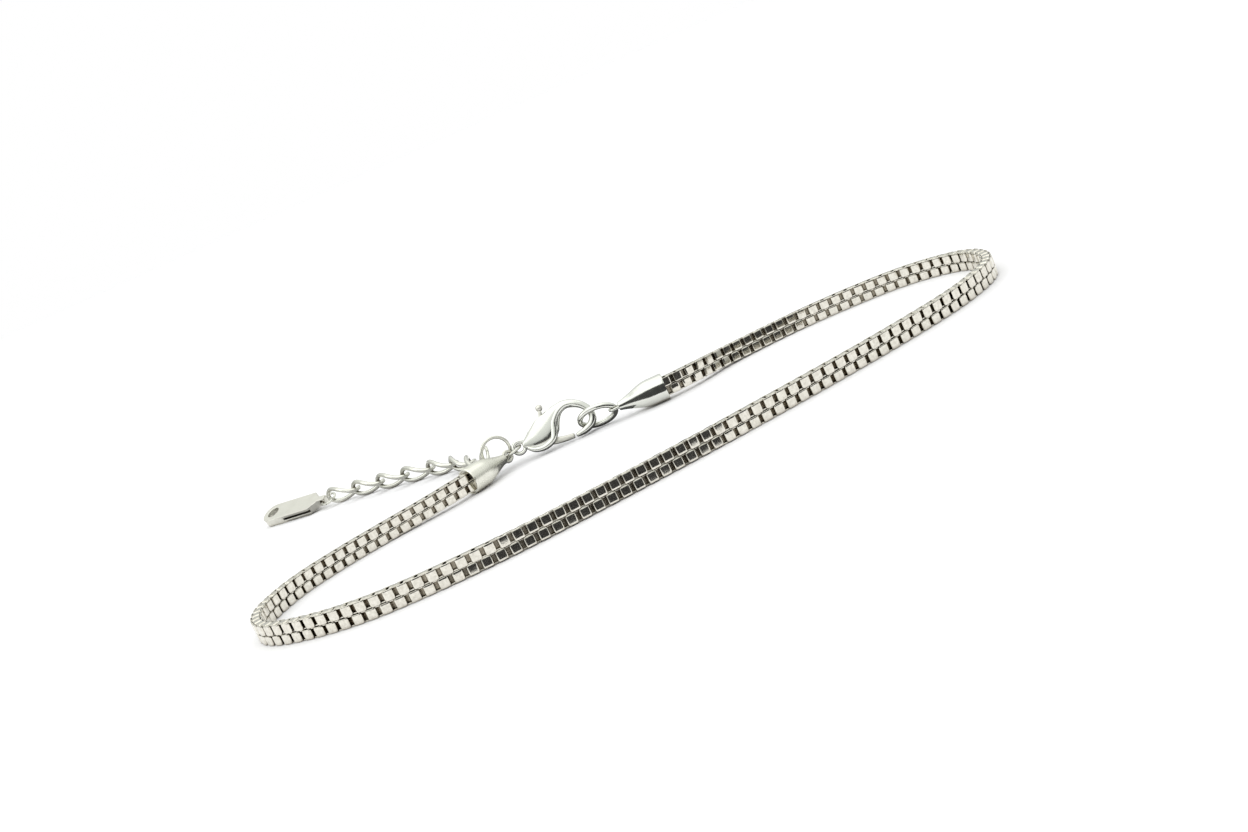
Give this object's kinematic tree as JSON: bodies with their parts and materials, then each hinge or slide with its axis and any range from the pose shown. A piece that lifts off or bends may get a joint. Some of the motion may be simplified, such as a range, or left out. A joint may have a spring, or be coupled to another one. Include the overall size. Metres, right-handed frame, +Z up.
{
  "type": "box chain bracelet",
  "caption": "Closed bracelet of a double-row box chain between bell end caps, with a lobster clasp on an oval link and a twisted-link extension chain ending in a folded tag.",
  "frame": {"origin": "on the ground under the middle of the whole bracelet, its tail included", "axes": "+Z up, +X along the long way of the loop, +Y from the plain front strand towards the clasp and the tail"},
  "size_m": [0.0834, 0.0612, 0.0047],
  "materials": {
    "chain_steel": "mirror-bright flat strip, lightly scratched",
    "polished_steel": "polished cast and pressed steel with soft wear",
    "wire_steel": "satin drawn wire"
  },
  "bodies": {
    "bracelet": {"chain_band": "chain_steel", "cap_left": "polished_steel", "cap_right": "polished_steel", "clasp_body": "polished_steel", "joint_ring": "wire_steel", "tail_ring_1": "wire_steel", "tail_ring_2": "wire_steel", "oval_link": "polished_steel", "tail_link_1": "wire_steel", "tail_link_2": "wire_steel", "tail_link_3": "wire_steel", "tail_link_4": "wire_steel", "tail_link_5": "wire_steel", "tail_link_6": "wire_steel", "tail_link_7": "wire_steel", "tag_ring": "wire_steel", "tag": "polished_steel"},
    "clasp_lever": {"clasp_lever": "polished_steel"}
  },
  "joints": [
    {"name": "clasp_lever_hinge", "type": "hinge", "parent": "bracelet", "child": "clasp_lever", "pos_m": [-0.00578, 0.00225, 0.00113], "axis": [0, -0.9397, 0.342], "range_deg": [0, 20], "stiffness_Nm_per_rad": 0.00005}
  ]
}
